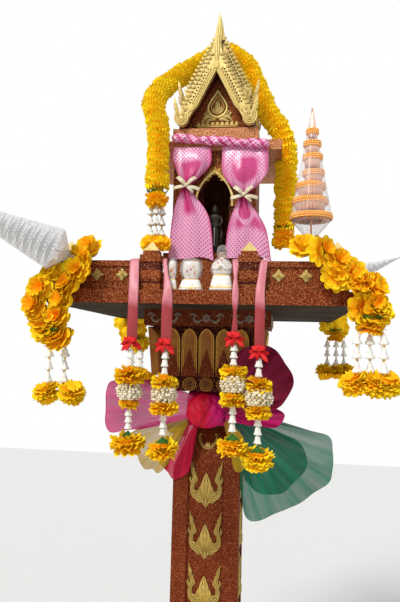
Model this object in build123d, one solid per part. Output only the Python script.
"""Thai spirit house: a painted cement shrine on a post, dressed with offerings.

Millimetres, +Z up. The origin is on the ground under the middle of the post,
and the shrine's front faces -Y.
"""

import os
from math import atan2, cos, degrees

from build123d import *

# Post and its foot
plinth_half = 210
plinth_height = 60
step_half = 175
step_height = 50
foot_half = 140
foot_height = 120
post_half = 86
panel_half = 47
panel_depth = 6
panel_margin = 34
motif_pitch = 129
motif_height = 119
motif_thickness = 7
motif_overrun = 18
crescent_radius = 24
crescent_hollow = 18
crescent_thickness = 5
crescent_place = 0.66
flare_height = 100
neck_half = 43
neck_height = 97

# Capital under the platform
band_half = 160
band_height = 40
core_top_half = 139
core_foot_half = 128
lotus_height = 128
rosette_band_half = 122
rosette_band_height = 38
petal_pitch = 43.5
petal_width = 40
petal_height = 122
petal_thickness = 12
corner_petal_width = 28
spear_width = 42
spear_height = 70
spear_thickness = 5
rosette_radius = 18
rosette_thickness = 7

# Platform
platform_underside = 1450
platform_half = 350
platform_thickness = 31
parapet_height = 69
parapet_thickness = 24
parapet_inset = 32
parapet_rail_height = 13
parapet_rail_lip = 5
parapet_foot_height = 16
parapet_foot_lip = 8
newel_offset = 112
newel_half = 24
newel_stand = 12
newel_height = 92
newel_shaft_inset = 2.5
newel_ring_inset = 1
newel_ring_foot = 22
newel_ring_top = 28
newel_neck_inset = 4
newel_neck_foot = 61
newel_slab_foot = 66
newel_slab_top = 82
cap_half = 18
cap_height = 23
stud_pitch = 60
stud_reach = 15
stud_thickness = 8

# Shrine body
base_heights = (34, 26, 37, 32)
base_halves = (147, 133, 125, 135)
base_front_steps = (44, 30, 18, 8)
house_front = -56
house_back = 216
column_width = 50
column_depth = 44
house_half = 113
wall_thickness = 16
arch_half = 46
arch_rise = 64
arch_spring = 161
arch_foot_drop = 30
arch_thickness = 18
rim_width = 6
rim_thickness = 5
doorway_half = 36
doorway_spring = 183
arch_setback = 8
inner_wall_setback = 64
ledge_half = 182
ledge_underside = 443
ledge_thickness = 27
ledge_overhang = 10
ledge_back_overhang = 54

# Roof and gables
gable_base_half = 118
gable_base_height = 38
gable_base_setback = 8
eave_half = 101
eave_lift = 15
roof_height = 168
roof_thickness = 12
upper_roof_rise = 74
upper_roof_inset = 70
gable_thickness = 16
gable_setback = 44
board_thickness = 14
spire_height = 105
teardrop_lift = 9
sill_width = 126
sill_height = 10
tympanum_half = 35
tympanum_height = 100
tympanum_thickness = 7

# Standing figure in the doorway
figure_height = 146
figure_half = 30
figure_depth = 26
figure_setback = 38
figure_plinth = 18
figure_head = 11
figure_crown = 25

# Leaves of the post's lotus motif: width, height, turn, and the foot's place across and up
motif_leaves = ((38, 70, 0, 0, 18), (34, 44, 0, 0, 0), (25, 56, 47, 0, 16), (15, 76, 7, 31, 44))

# Half of a bargeboard: across as shares of the eave's half width, up as shares of the roof's height.
# The foot and the tip count up from the eave, the ridge end from the ridge.
board_inner_top = (0, -0.149)
board_inner_low = (0.505, -0.744)
board_knee = (0.634, 0.167)
board_hook_in = (0.733, 0.06)
board_hook_turn = (0.812, -0.048)
board_hook_low = (0.94, -0.077)
board_hook_rise = (1.05, -0.024)
board_hook_out = (1.09, 0.089)
board_tip = (1.139, 0.435)
board_crook = (0.97, 0.161)
board_spire_foot = (0.168, 0.137)
board_spire_side = 7

# Cloths at the shrine's front
curtain_gap = 1
curtain_thickness = 12
curtain_left_span = (-116, -10)
curtain_right_span = (22, 144)
curtain_foot = 140
curtain_top = 446
curtain_tie_height = (340, 313)
curtain_tie_x = (-72, 83)
curtain_waist = 13
curtain_head_drop = 60
curtain_head_inset = 4
curtain_skirt_drop = (90, 100)
curtain_skirt_inset = (4, 6)
curtain_left_foot = (-119, 3)
curtain_right_foot = (33, 154)
valance_span = (-116, 147)
valance_radius = 15
tie_thickness = 8
tie_reach = 30
tie_loop_width = 22
tie_tail_width = 16
tie_knot_radius = 7

# Offerings on the platform
garland_radius = 31
garland_clearance = 0.4
garland_bend = 34
string_positions = (-142, -65, 85, 139)
ribbon_tops = (-149, -79, 82, 145.5)
ribbon_top_widths = (22, 10, 10, 17)
ribbon_widths = (22, 24, 13, 22)
ribbon_thickness = 1.5
ribbon_flap = 12
ribbon_feet = (-84, -86, -68, -96)
bow_radius = 12
bow_height = 34
bead_radius = 8
string_bloom_radius = 26
string_bloom_height = 22
corner_bloom_radius = 28
bloom_flatness = 0.8
tail_bloom_radius = 26
umbrella_radius = 48
umbrella_length = 266
umbrella_funnel = 56
umbrella_stick = 4
umbrella_tip = 2
lying_stick = 20
figurine_places = ((-60, 11, 72), (-17, 27, 72), (53, 24, 103))
figurine_y = -platform_half + 26

# Middles of each hanging string's full rows, measured from the platform's underside
string_blooms = ((-159, -194, -220, -306), (-172, -198, -226, -316), (-147, -171, -204, -303),
                 (-171, -197, -227, -326))

# Rims of the umbrellas and the way the leaning ones point, heights from the platform's underside
standing_rim = (platform_half - 99, 94 - platform_half, 212)
left_rim = (45 - platform_half, -44 - platform_half, 110)
left_heading = (-0.83, -0.42, 0.37)
back_rim = (platform_half - 20, platform_half + 30, 127)
back_heading = (0.93, 0, 0.36)

# Blooms and hanging strings at the front corners: out from the platform's side edge, along Y, and
# up from the platform's underside
hang_y = -platform_half - garland_clearance - corner_bloom_radius
post_bloom_y = -platform_half + parapet_inset - newel_stand - garland_clearance - corner_bloom_radius
rail_bloom_y = -platform_half + parapet_inset + 4
rail_bloom_z = platform_thickness + parapet_height + garland_clearance + corner_bloom_radius
left_blooms = ((-107, rail_bloom_y, rail_bloom_z), (-78, post_bloom_y, 107), (-75, post_bloom_y, 72),
               (-18, post_bloom_y, 62), (-13, hang_y, 31), (-70, hang_y, 33), (4, hang_y, -14),
               (-60, hang_y, -1), (-10, hang_y, -41), (-65, hang_y, -38), (-25, hang_y, -63),
               (-60, hang_y, -84))
left_tails = ((-29, hang_y, -63, -198), (-81, hang_y, -84, -191))
right_blooms = ((-116, rail_bloom_y, rail_bloom_z), (-84, post_bloom_y, 114), (-48, post_bloom_y, 88),
                (-53, post_bloom_y, 60), (-20, post_bloom_y, 65), (-6, hang_y, 44), (20, hang_y, 37),
                (22, hang_y, 3), (-4, hang_y, -14), (29, hang_y, -21), (18, hang_y, -52),
                (-14, hang_y, -56))
right_tails = ((-16, hang_y, -56, -160), (37, hang_y, -52, -159))

# Roof garland from its left end over the ridge to its right end: out from the eave's side edge
# (the crown of the route stands over the ridge), along Y, and up from the ridge
garland_left = ((49, -99, -357), (51, -99, -200), (71, -75, -113), (51, 10, -24), (-19, 100, 71))
garland_crown = (0, 130, 127)
garland_right = ((-27, 105, 66), (35, 70, -85), (89, 60, -196), (90, 60, -433))
left_tail_foot = -511
left_tail_bloom = (-391, 27, 13)
left_tail_radius = 24
right_tail_foot = -480
right_tail_radius = 20

# Sashes round the neck
sash_clearance = 0.5
sash_thickness = 26
sash_margin = 3
knot_half = 52
knot_rise = 48
knot_depth = 84
loop_thickness = 9
wine_gap = 6
wine_lean = 15

# Outlines of the spread loops and tails, across and up from the sash's middle. The loops start at
# the knot's side, the green tail at the post's side and the red tail under the knot.
pink_loop_root = (6, -20)
pink_loop_edge = ((-171, -80), (-247, -72), (-269, 12), (-190, 36))
magenta_loop_root = (6, -28)
magenta_loop_edge = ((146, -51), (203, 5), (186, 43), (108, 31))
wine_loop_root = (14, -12)
wine_loop_edge = ((155, -1), (213, 51), (213, 101), (160, 141), (116, 101))
green_tail_root = (-17, -208)
green_tail_edge = ((328, -94), (292, -229), (117, -293))
red_tail_root = (-12, -48)
red_tail_edge = ((-136, -156), (-54, -249), (-48, -156))

# Heights worked out from the sizes above
platform_top = platform_underside + platform_thickness
band_foot = platform_underside - band_height
lotus_foot = band_foot - lotus_height
neck_top = lotus_foot - rosette_band_height
flare_top = neck_top - neck_height
post_top = flare_top - flare_height
foot_top = plinth_height + step_height + foot_height
parapet_front = -platform_half + parapet_inset
corner_centre = newel_stand - parapet_front - newel_half
floor_height = platform_top + sum(base_heights)
ledge_bottom = platform_underside + ledge_underside
ledge_top = ledge_bottom + ledge_thickness
ledge_front = house_front - ledge_overhang
ledge_back = house_back + ledge_back_overhang
gable_floor = ledge_top + gable_base_height
roof_foot = gable_floor + eave_lift
roof_ridge = roof_foot + roof_height
roof_front = ledge_front + gable_base_setback
roof_back = ledge_back - gable_base_setback


def above_platform(height):
    """Height measured from the platform's underside."""
    return platform_underside + height


def box(x0, x1, y0, y1, z0, z1):
    return Pos((x0 + x1) / 2, (y0 + y1) / 2, (z0 + z1) / 2) * Box(x1 - x0, y1 - y0, z1 - z0)


def square_block(half, z0, z1):
    return box(-half, half, -half, half, z0, z1)


def taper(half_low, half_high, z0, z1):
    low = Pos(0, 0, z0) * Rectangle(2 * half_low, 2 * half_low)
    high = Pos(0, 0, z1) * Rectangle(2 * half_high, 2 * half_high)
    return loft([low, high])


def plate(face, y0, thickness):
    """A face drawn in X and Z, given thickness towards +Y from the plane at y0."""
    return extrude(Plane.XZ.offset(-y0) * face, amount=-thickness)


def polygon(points):
    return make_face(Polyline(*points, close=True))


def leaf(width, height, turn=0, base=(0, 0)):
    """Pointed leaf of two arcs standing on its base point, turned about it."""
    right = ThreePointArc((0, 0), (width / 2, height * 0.45), (0, height))
    left = ThreePointArc((0, height), (-width / 2, height * 0.45), (0, 0))
    return Pos(*base) * Rot(0, 0, turn) * make_face(right + left)


def tongue(width, height):
    """Petal outline: straight sides and a pointed round head."""
    shoulder = height - width * 0.8
    half = width / 2
    outline = Polyline((-half, shoulder), (-half, 0), (half, 0), (half, shoulder))
    right = ThreePointArc((half, shoulder), (half * 0.62, height - width * 0.27), (0, height))
    left = ThreePointArc((0, height), (-half * 0.62, height - width * 0.27), (-half, shoulder))
    return make_face(outline + right + left)


def four_sides(shapes):
    """Copies of one side's shapes on all four sides of the post or capital."""
    return [Rot(0, 0, 90 * side) * shape for side in range(4) for shape in shapes]


def write(name, *shapes):
    solids = [solid for shape in shapes for solid in shape.solids()]
    part = solids[0] if len(solids) == 1 else Compound(children=solids)
    export_step(part, f"parts/{name}.step")


os.makedirs("parts", exist_ok=True)

# Post
step_top = plinth_height + step_height
plinth = square_block(plinth_half, 0, plinth_height)
plinth += square_block(step_half, plinth_height, step_top)
write("base_plinth", plinth)
foot_bead = foot_height / 5
bead_half = post_half + foot_bead / 2
foot = taper(foot_half, bead_half, step_top, foot_top - foot_bead)
foot += square_block(bead_half, foot_top - foot_bead, foot_top)
write("post_foot", foot)

shaft = square_block(post_half, foot_top, post_top)
shaft += taper(post_half, neck_half, post_top, flare_top)
shaft += square_block(neck_half, flare_top, neck_top)
for recess in four_sides([box(-panel_half, panel_half, -post_half, -post_half + panel_depth,
                              foot_top + panel_margin, post_top + motif_overrun)]):
    shaft -= recess
write("post", shaft)

# Gilded lotus flames in the post's panels
motif_outline = None
for width, height, turn, across, up in motif_leaves:
    pair = leaf(width, height, -turn, (across, up)) + leaf(width, height, turn, (-across, up))
    motif_outline = pair if motif_outline is None else motif_outline + pair
motif_count = int((post_top - foot_top - panel_margin) // motif_pitch)
motifs = []
for row in range(motif_count):
    motif_foot = post_top + motif_overrun - motif_pitch * row - motif_height
    motif = plate(motif_outline, 0, motif_thickness)
    motifs.append(Pos(0, -post_half + panel_depth - motif_thickness, motif_foot) * motif)
write("post_lotus_motifs", *four_sides(motifs))

flare_lean = degrees(atan2(post_half - neck_half, flare_height))
crescent_face = Circle(crescent_radius) - Pos(0, crescent_radius / 2) * Circle(crescent_hollow)
crescent_face -= Pos(0, crescent_radius) * Rectangle(3 * crescent_radius, 1.2 * crescent_radius)
crescent = Rot(-flare_lean, 0, 0) * plate(crescent_face, -crescent_thickness, crescent_thickness)
crescent_rise = flare_height * crescent_place
crescent_y = -(post_half - (post_half - neck_half) * crescent_rise / flare_height)
write("neck_crescents", *four_sides([Pos(0, crescent_y, post_top + crescent_rise) * crescent]))

# Lotus capital
core = taper(core_foot_half, core_top_half, lotus_foot, band_foot)
core += square_block(rosette_band_half, neck_top, lotus_foot)
write("capital_core", core)

petal_lean = degrees(atan2(core_top_half - core_foot_half, lotus_height))
petal_foot = 2
petals = []
for place in range(-2, 3):
    petal = plate(tongue(petal_width, petal_height), -petal_thickness, petal_thickness)
    petals.append(Pos(place * petal_pitch, 0, 0) * petal)


def on_core_face(shape, rise):
    """A flat piece stood on the core's leaning front face."""
    face_y = -core_foot_half - (core_top_half - core_foot_half) * rise / lotus_height
    return Pos(0, face_y, lotus_foot + rise) * Rot(petal_lean, 0, 0) * shape


petal_room = taper(core_foot_half + petal_thickness, core_top_half + petal_thickness,
                   lotus_foot, band_foot) - core
diagonal_plate = plate(tongue(corner_petal_width, petal_height), -2 * core_top_half, core_top_half)
corner_petal = petal_room & (Rot(0, 0, 45) * Pos(0, 0, lotus_foot + petal_foot) * diagonal_plate)
face_petals = [on_core_face(petal, petal_foot) for petal in petals]
write("capital_petals", *four_sides(face_petals + [corner_petal]))
spear_face = polygon([(-spear_width / 2, 0), (spear_width / 2, 0), (0, spear_height)])
spear = plate(spear_face, -petal_thickness - spear_thickness, spear_thickness)
spears = [Pos(place * petal_pitch, 0, 0) * spear for place in range(-2, 3)]
write("capital_spears", *four_sides([on_core_face(spear, petal_foot) for spear in spears]))
rosette = Rot(90, 0, 0) * Cylinder(rosette_radius, rosette_thickness)
rosette_y = -rosette_band_half - rosette_thickness / 2
rosettes = [Pos(place * petal_pitch, rosette_y, neck_top + rosette_band_height / 2) * rosette
            for place in range(-2, 3)]
write("capital_rosettes", *four_sides(rosettes))
write("capital_band", square_block(band_half, band_foot, platform_underside))

# Platform with its parapet
write("platform_slab", square_block(platform_half, platform_underside, platform_top))
rail_foot = platform_top + parapet_height - parapet_rail_height
rail_top = platform_top + parapet_height


def parapet_run(x0, x1):
    """A length of parapet along the front, with a spread foot and a lipped rail."""
    front = parapet_front
    back = parapet_front + parapet_thickness
    run = box(x0, x1, front, back, platform_top, rail_top)
    run += box(x0, x1, front - parapet_foot_lip, back, platform_top, platform_top + parapet_foot_height)
    return run + box(x0, x1, front - parapet_rail_lip, back, rail_foot, rail_top)


corner_reach = corner_centre - newel_half
newel_outer = newel_offset + newel_half
shaft_half = newel_half - newel_shaft_inset
write("parapet_front", parapet_run(-corner_reach, -newel_outer), parapet_run(newel_outer, corner_reach))
long_run = parapet_run(-corner_reach, corner_reach)
write("parapet_sides", Rot(0, 0, -90) * long_run, Rot(0, 0, 90) * long_run)
write("parapet_back", Rot(0, 0, 180) * long_run)


def short_post(x, y):
    """A moulded square post: base, ringed shaft, narrow neck, slab and the block under its cap."""
    levels = ((0, newel_half, parapet_foot_height), (parapet_foot_height, shaft_half, newel_neck_foot),
              (newel_ring_foot, newel_half - newel_ring_inset, newel_ring_top),
              (newel_neck_foot, newel_half - newel_neck_inset, newel_slab_foot),
              (newel_slab_foot, newel_half, newel_slab_top), (newel_slab_top, cap_half, newel_height))
    post = None
    for low, half, high in levels:
        course = Pos(x, y) * square_block(half, platform_top + low, platform_top + high)
        post = course if post is None else post + course
    return post


def post_cap(x, y):
    foot = Rectangle(2 * cap_half, 2 * cap_half)
    tip = Rectangle(1.5, 1.5)
    return Pos(x, y, platform_top + newel_height) * loft([foot, Pos(0, 0, cap_height) * tip])


newel_y = -corner_centre
newel_places = [(-newel_offset, newel_y), (newel_offset, newel_y)]
corner_places = [(x * corner_centre, y * corner_centre) for x in (-1, 1) for y in (-1, 1)]
write("parapet_posts", *[short_post(*place) for place in newel_places + corner_places])
write("post_caps", *[post_cap(*place) for place in newel_places + corner_places])

stud_face = leaf(9, 2 * stud_reach, base=(0, -stud_reach))
stud_face += Rot(0, 0, 90) * stud_face
stud = plate(stud_face, -stud_thickness, stud_thickness)
stud_z = (platform_top + parapet_foot_height + rail_foot) / 2
front_studs = [Pos(way * (newel_outer + stud_pitch * (place + 0.7)), parapet_front, stud_z) * stud
               for way in (-1, 1) for place in range(2)]
long_studs = [Pos(stud_pitch * (place - 3), parapet_front, stud_z) * stud for place in range(7)]
side_studs = [Rot(0, 0, 90 * side) * piece for side in (1, 2, 3) for piece in long_studs]
write("parapet_studs", *front_studs, *side_studs)

# Shrine body
courses = []
course_foot = platform_top
for height, half, front_step in zip(base_heights, base_halves, base_front_steps):
    courses.append(box(-half, half, house_front - front_step, house_back + front_step,
                       course_foot, course_foot + height))
    course_foot += height
base = courses[0] + courses[1] + courses[2] + courses[3]
write("shrine_base", base)

column_back = house_front + column_depth
columns = [box(min(x0, x1), max(x0, x1), house_front, column_back, floor_height, ledge_bottom)
           for x0, x1 in ((-house_half, column_width - house_half), (house_half, house_half - column_width))]
write("front_columns", *columns)
opening_half = house_half - column_width


def ogee_arch(half, spring, rise, foot):
    """Pointed arch outline of two curves on straight jambs."""
    jambs = Polyline((-half, spring), (-half, foot), (half, foot), (half, spring))
    right = ThreePointArc((half, spring), (half * 0.62, spring + rise * 0.58), (0, spring + rise))
    left = ThreePointArc((0, spring + rise), (-half * 0.62, spring + rise * 0.58), (-half, spring))
    return make_face(jambs + right + left)


arch_front = house_front + arch_setback
arch_foot = floor_height + arch_spring - arch_foot_drop
arch_back = arch_front + arch_thickness
head = box(-opening_half, opening_half, arch_front, arch_back, arch_foot, ledge_bottom)
arch_opening = ogee_arch(arch_half, arch_spring, arch_rise, -arch_foot_drop)
arch_outer = ogee_arch(arch_half + rim_width, arch_spring, arch_rise + rim_width,
                       arch_spring - arch_foot_drop)
head -= Pos(0, 0, floor_height) * plate(arch_opening, arch_front - 1, arch_thickness + 2)
write("arch_head", head)
rim_face = arch_outer - arch_opening
write("arch_rim", Pos(0, 0, floor_height) * plate(rim_face, arch_front - rim_thickness, rim_thickness))

inner_front = house_front + inner_wall_setback
inner_half = house_half - wall_thickness
inner_back = inner_front + wall_thickness
inner = box(-inner_half, inner_half, inner_front, inner_back, floor_height, ledge_bottom)
doorway = Rectangle(2 * doorway_half, 2 * doorway_spring)
doorway += Pos(0, doorway_spring) * Circle(doorway_half)
inner -= Pos(0, 0, floor_height) * plate(doorway, inner_front - 1, wall_thickness + 2)
write("inner_wall", inner)

right_wall = box(inner_half, house_half, column_back, house_back, floor_height, ledge_bottom)
write("side_walls", right_wall, mirror(right_wall, about=Plane.YZ))
back_wall_front = house_back - wall_thickness
back_wall = box(-inner_half, inner_half, back_wall_front, house_back, floor_height, ledge_bottom)
write("back_wall", back_wall)
ledge = box(-ledge_half, ledge_half, ledge_front, ledge_back, ledge_bottom, ledge_top)
write("eaves_ledge", ledge)

# Roof
gable_base = box(-gable_base_half, gable_base_half, roof_front, roof_back, ledge_top, gable_floor)
write("gable_base", gable_base)
roof_slope = atan2(roof_height, eave_half)
roof_rise = roof_thickness / cos(roof_slope)
roof_steepness = roof_height / eave_half
attic_half = (roof_ridge - roof_rise - gable_floor) / roof_steepness
room_outline = polygon([(-attic_half, gable_floor), (attic_half, gable_floor), (0, roof_ridge - roof_rise)])


def roof_outline(lift):
    """The roof's top as an inverted V, lifted straight up."""
    return [(-eave_half, roof_foot + lift), (0, roof_ridge + lift), (eave_half, roof_foot + lift)]


lower_outline = polygon([(eave_half, gable_floor), (-eave_half, gable_floor)] + roof_outline(0))
write("lower_roof", plate(lower_outline - room_outline, roof_front, roof_back - roof_front))
upper_front = roof_front + upper_roof_inset
upper_back = roof_back - upper_roof_inset
upper_outline = polygon(roof_outline(upper_roof_rise) + roof_outline(0)[::-1])
write("upper_roof", plate(upper_outline, upper_front, upper_back - upper_front))
front_gable_y = roof_front + gable_setback
write("gables", plate(room_outline, front_gable_y, gable_thickness),
      plate(room_outline, roof_back - gable_setback - gable_thickness, gable_thickness))


def bargeboard_half(way, lift, spire):
    """One side of a bargeboard: sloping strip, curled foot and upturned tip, in X and Z."""

    def from_eave(place):
        return (way * place[0] * eave_half, roof_foot + lift + place[1] * roof_height)

    def from_ridge(place):
        return (way * place[0] * eave_half, roof_ridge + lift + place[1] * roof_height)

    inner_top = from_ridge(board_inner_top)
    inner_low = from_ridge(board_inner_low)
    hook_in = from_eave(board_hook_in)
    hook_low = from_eave(board_hook_low)
    hook_out = from_eave(board_hook_out)
    tip = from_eave(board_tip)
    crook = from_eave(board_crook)
    spire_foot = from_ridge(board_spire_foot)
    spire_side = (way * board_spire_side, roof_ridge + lift + spire / 2)
    spire_tip = (0, roof_ridge + lift + spire)
    edges = [Line(inner_top, inner_low),
             ThreePointArc(inner_low, from_eave(board_knee), hook_in),
             ThreePointArc(hook_in, from_eave(board_hook_turn), hook_low),
             ThreePointArc(hook_low, from_eave(board_hook_rise), hook_out),
             Line(hook_out, tip), Line(tip, crook), Line(crook, spire_foot),
             ThreePointArc(spire_foot, spire_side, spire_tip),
             Line(spire_tip, inner_top)]
    return make_face(edges)


def bargeboard(lift, spire, y0):
    outline = bargeboard_half(1, lift, spire) + bargeboard_half(-1, lift, spire)
    return plate(outline, y0, board_thickness)


roof_body = plate(lower_outline, roof_front, roof_back - roof_front)
write("bargeboards_front", bargeboard(0, spire_height, roof_front - board_thickness),
      bargeboard(upper_roof_rise, spire_height, upper_front - board_thickness) - roof_body)
write("bargeboards_back", bargeboard(0, spire_height, roof_back),
      bargeboard(upper_roof_rise, spire_height, upper_back) - roof_body)

teardrop = leaf(2 * tympanum_half, tympanum_height, base=(0, teardrop_lift))
sill = Rectangle(sill_width, sill_height, align=(Align.CENTER, Align.MIN))
ornament = plate(teardrop + sill, front_gable_y - tympanum_thickness, tympanum_thickness)
write("tympanum_ornament", Pos(0, 0, gable_floor + 1) * ornament)

# Standing figure before the inner doorway
figure_y = house_front + figure_setback
waist_height = figure_height * 0.62
shoulder_height = figure_height * 0.76
head_height = shoulder_height + figure_head
plinth_middle = floor_height + figure_plinth / 2
figure = Pos(0, figure_y, plinth_middle) * Box(2 * figure_half, figure_depth, figure_plinth)
robe = Plane.XY.offset(floor_height + figure_plinth) * Ellipse(figure_half - 3, figure_depth / 2)
waist = Plane.XY.offset(floor_height + waist_height) * Ellipse(figure_half * 0.55, figure_depth / 2 - 3)
shoulders = Plane.XY.offset(floor_height + shoulder_height) * Ellipse(figure_half * 0.8, figure_depth / 2 - 2)
figure += Pos(0, figure_y, 0) * loft([robe, waist])
figure += Pos(0, figure_y, 0) * loft([waist, shoulders])
figure += Pos(0, figure_y, floor_height + head_height) * Sphere(figure_head)
crown = Cone(figure_head - 3, 1.5, figure_crown)
figure += Pos(0, figure_y, floor_height + figure_height - figure_crown / 2) * crown
write("guardian_figure", figure)

# Curtains, valance and their ties
curtain_back = ledge_front - curtain_gap
curtain_front = curtain_back - curtain_thickness


def curtain(span, tie_x, tie_z, foot_span, foot_z):
    """Outer shape of a gathered curtain: full at the head, tied at a waist, full at the foot."""
    top = above_platform(curtain_top)
    waist = above_platform(tie_z)
    head = waist + curtain_head_drop
    foot = above_platform(foot_z)
    left_skirt = (foot_span[0] + curtain_skirt_inset[0], waist - curtain_skirt_drop[0])
    right_skirt = (foot_span[1] - curtain_skirt_inset[1], waist - curtain_skirt_drop[1])
    points = [(span[0], top), (span[0] + curtain_head_inset, head), (tie_x - curtain_waist, waist),
              left_skirt, (foot_span[0], foot), (foot_span[1], foot), right_skirt,
              (tie_x + curtain_waist, waist), (span[1] - curtain_head_inset, head), (span[1], top)]
    return plate(polygon(points), curtain_front, curtain_thickness)


left_curtain = curtain(curtain_left_span, curtain_tie_x[0], curtain_tie_height[0],
                       curtain_left_foot, curtain_foot)
right_curtain = curtain(curtain_right_span, curtain_tie_x[1], curtain_tie_height[1],
                        curtain_right_foot, curtain_foot)
write("curtains", left_curtain, right_curtain)
valance_length = valance_span[1] - valance_span[0]
valance = Rot(0, 90, 0) * Cylinder(valance_radius, valance_length)
valance_y = ledge_front - garland_clearance - valance_radius
valance_z = above_platform(curtain_top) + valance_radius + garland_clearance
write("curtain_valance", Pos(sum(valance_span) / 2, valance_y, valance_z) * valance)

bow_face = leaf(tie_loop_width, tie_reach, turn=70) + leaf(tie_loop_width, tie_reach, turn=-70)
bow_face += leaf(tie_tail_width, tie_reach, turn=115) + leaf(tie_tail_width, tie_reach, turn=-115)
bow_face += Circle(tie_knot_radius)
bow_front = curtain_front - garland_clearance - tie_thickness
bows = [Pos(x, 0, above_platform(z)) * plate(bow_face, bow_front, tie_thickness)
        for x, z in zip(curtain_tie_x, curtain_tie_height)]
write("curtain_bows", *bows)


# Offerings hung on the platform and the roof
def bloom(x, y, z, radius):
    """A full bloom's outer shape: an eight-sided drum with a flat side to the front."""
    outline = Rot(0, 0, 22.5) * RegularPolygon(radius, 8, major_radius=False)
    return Pos(x, y, z) * extrude(outline, amount=radius * bloom_flatness, both=True)


def rod_between(start, end, radius):
    """A round rod from one point to another."""
    path = Line(start, end)
    return sweep(Plane(origin=start, z_dir=path % 0) * Circle(radius), path=path)


ribbon_plane = -platform_half - garland_clearance
rail_clear = platform_top + parapet_height + garland_clearance
rail_edge = parapet_front - parapet_rail_lip - garland_clearance


def ribbon_cut(x, width, y, z):
    """The ribbon's section at a level: its width along X and its thickness towards -Y."""
    return Pos(x, y - ribbon_thickness / 2, z) * Rectangle(width, ribbon_thickness)


def ribbon(top_x, top_width, x, width, foot):
    """Flat ribbon from the parapet's rail, out over the platform's edge and down its front."""
    half = width / 2
    top_half = top_width / 2
    flap = box(top_x - top_half, top_x + top_half, rail_edge - ribbon_thickness, rail_edge + ribbon_flap,
               rail_clear, rail_clear + ribbon_thickness)
    slope = loft([ribbon_cut(x, width, ribbon_plane, platform_top),
                  ribbon_cut(top_x, top_width, rail_edge, rail_clear)])
    drop = box(x - half, x + half, ribbon_plane - ribbon_thickness, ribbon_plane,
               above_platform(foot), platform_top)
    return flap + slope + drop


ribbon_sizes = zip(ribbon_tops, ribbon_top_widths, string_positions, ribbon_widths, ribbon_feet)
write("front_ribbons", *[ribbon(*sizes) for sizes in ribbon_sizes])
string_y = ribbon_plane - ribbon_thickness - bead_radius


def flower_string(x, ribbon_foot, blooms):
    """One hanging string: a bow, a row of blossoms down its length, and full rounds at the blooms."""
    top = above_platform(ribbon_foot) - garland_clearance
    foot = above_platform(blooms[-1])
    below = (Align.CENTER, Align.CENTER, Align.MAX)
    string = Pos(x, string_y, top) * Cylinder(bow_radius, bow_height, align=below)
    string += Pos(x, string_y, top) * Cylinder(bead_radius, top - foot, align=below)
    for z in blooms:
        string += Pos(x, string_y, above_platform(z)) * Cylinder(string_bloom_radius, string_bloom_height)
    return string


string_places = zip(string_positions, ribbon_feet, string_blooms)
write("front_garlands", *[flower_string(*place) for place in string_places])


# Tiered umbrellas in clear cones: one stands on the platform, two point outwards
def umbrella(rim, stick_length, length, grow=0):
    """Closed outer shape with its rim's middle at the origin, tip up."""
    below = (Align.CENTER, Align.CENTER, Align.MAX)
    above = (Align.CENTER, Align.CENTER, Align.MIN)
    funnel = Cone(umbrella_stick + grow, rim + grow, umbrella_funnel, align=below)
    cone = Cone(rim + grow, umbrella_tip + grow, length, align=above)
    stick = Pos(0, 0, -umbrella_funnel) * Cylinder(umbrella_stick + grow, stick_length, align=below)
    return stick + funnel + cone


standing_stick = standing_rim[2] - umbrella_funnel - platform_thickness
left_frame = Plane(origin=(left_rim[0], left_rim[1], above_platform(left_rim[2])), z_dir=left_heading)
back_frame = Plane(origin=(back_rim[0], back_rim[1], above_platform(back_rim[2])), z_dir=back_heading)
standing_frame = Pos(standing_rim[0], standing_rim[1], above_platform(standing_rim[2]))
write("tiered_umbrellas", standing_frame * umbrella(umbrella_radius, standing_stick, umbrella_length),
      left_frame * umbrella(umbrella_radius, lying_stick, umbrella_length),
      back_frame * umbrella(umbrella_radius, lying_stick, umbrella_length))
umbrella_room = [frame * umbrella(umbrella_radius, lying_stick + 1, umbrella_length, garland_clearance)
                 for frame in (left_frame, back_frame)]


def corner_garland(way, blooms, tails):
    """Blooms wound over a corner, with strings that hang from the last of them."""
    chain = None
    for out, y, z in blooms:
        added = bloom(way * (platform_half + out), y, above_platform(z), corner_bloom_radius)
        chain = added if chain is None else chain + added
    for out, y, z, foot in tails:
        x = way * (platform_half + out)
        chain += rod_between((x, y, above_platform(z)), (x, y, above_platform(foot)), bead_radius)
        chain += bloom(x, y, above_platform(foot), tail_bloom_radius)
    return chain


def main_solid(shape):
    """The largest solid of a cut shape, without the slivers that a cut leaves."""
    return shape.solids().sort_by(SortBy.VOLUME)[-1]


left_corner = corner_garland(-1, left_blooms, left_tails)
right_corner = corner_garland(1, right_blooms, right_tails)
back_left = mirror(left_corner, about=Plane.XZ)
back_right = mirror(right_corner, about=Plane.XZ)
write("corner_garlands_front", main_solid(left_corner - umbrella_room[0]), right_corner)
write("corner_garlands_back", back_left, main_solid(back_right - umbrella_room[1]))


def over_roof(way, place):
    """A point of the roof garland: out from the eave's side edge, along Y, up from the ridge."""
    out, y, up = place
    return (way * (eave_half + out), y, roof_ridge + up)


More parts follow.
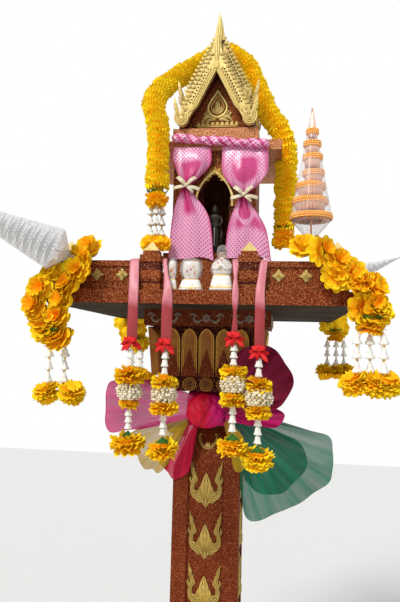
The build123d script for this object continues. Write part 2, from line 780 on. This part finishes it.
crown_x, crown_y, crown_up = garland_crown
roof_route = [over_roof(-1, place) for place in garland_left]
roof_route.append((crown_x, crown_y, roof_ridge + crown_up))
roof_route += [over_roof(1, place) for place in garland_right]
garland_path = FilletPolyline(*roof_route, radius=garland_bend)
garland_start = Plane(origin=garland_path @ 0, z_dir=garland_path % 0)
garland = sweep(garland_start * Circle(garland_radius), path=garland_path)
cleared_half = ledge_half + garland_clearance
garland -= box(-cleared_half, cleared_half, ledge_front - garland_clearance, ledge_back,
               ledge_bottom - garland_clearance, ledge_top + garland_clearance)
left_end = roof_route[0]
right_end = roof_route[-1]
for end, foot, radius in ((left_end, left_tail_foot, left_tail_radius),
                          (right_end, right_tail_foot, right_tail_radius)):
    tail_foot = (end[0], end[1], roof_ridge + foot)
    garland += rod_between(end, tail_foot, bead_radius)
    garland += Pos(*tail_foot) * Sphere(radius)
bloom_up, bloom_radius, bloom_half = left_tail_bloom
tail_bloom = Cylinder(bloom_radius, 2 * bloom_half)
garland += Pos(left_end[0], left_end[1], roof_ridge + bloom_up) * tail_bloom
write("roof_garland", garland)


# Small figures on flared plinths along the platform's front edge
def figurine(x, half, height):
    plinth = loft([Pos(x, figurine_y, platform_top) * Rectangle(2 * half, 1.6 * half),
                   Pos(x, figurine_y, platform_top + height * 0.34) * Rectangle(1.5 * half, 1.2 * half)])
    robe = Pos(x, figurine_y, platform_top + height * 0.56) * Cone(half * 0.6, half * 0.4, height * 0.44)
    head = Pos(x, figurine_y, platform_top + height * 0.88) * Sphere(height * 0.12)
    return plinth + robe + head


write("figurines", *[figurine(*place) for place in figurine_places])

# Sheer sashes tied round the neck, with loops and tails spread out flat
sash_inner = neck_half + sash_clearance
sash_outer = sash_inner + sash_thickness
sash_foot = flare_top + sash_margin
sash_top = neck_top - sash_margin
sash_middle = (sash_foot + sash_top) / 2
wrap = square_block(sash_outer, sash_foot, sash_top) - square_block(sash_inner, sash_foot - 1, sash_top + 1)
knot_back = -sash_outer - sash_clearance
knot_front = knot_back - knot_depth
knot_foot = sash_middle - knot_rise
knot = box(-knot_half, knot_half, knot_front, knot_back, knot_foot, sash_middle + knot_rise)
write("neck_sash", wrap, knot)


def sash_sheet(points, front):
    """A spread loop or tail, as places across and up from the sash's middle."""
    return Pos(0, 0, sash_middle) * plate(polygon(points), front, loop_thickness)


def rooted(x, root, edge):
    """A loop's outline: two points on its root line at x, then its free edge."""
    return [(x, root[0]), (x, root[1]), *edge]


loop_front = knot_back - knot_depth / 2
knot_side = knot_half + sash_clearance
pink_loop = sash_sheet(rooted(-knot_side, pink_loop_root, pink_loop_edge), loop_front)
magenta_loop = sash_sheet(rooted(knot_side, magenta_loop_root, magenta_loop_edge), loop_front)
wine_outline = polygon(rooted(knot_side, wine_loop_root, wine_loop_edge))
wine_loop = Pos(0, -rosette_band_half - rosette_thickness - wine_gap, sash_middle)
wine_loop *= Rot(wine_lean, 0, 0) * plate(wine_outline, -loop_thickness, loop_thickness)
write("sash_loops", pink_loop, magenta_loop, wine_loop)
green_start = post_half + sash_clearance
green_outline = [(green_start, green_tail_root[0]), *green_tail_edge, (green_start, green_tail_root[1])]
green_tail = sash_sheet(green_outline, -sash_outer)
motif_front = post_half - panel_depth + motif_thickness
red_front = -motif_front - sash_clearance - loop_thickness
knot_under = -knot_rise - sash_clearance
red_outline = [(red_tail_root[0], knot_under), (red_tail_root[1], knot_under), *red_tail_edge]
red_tail = sash_sheet(red_outline, red_front)
write("sash_tails", green_tail, red_tail)
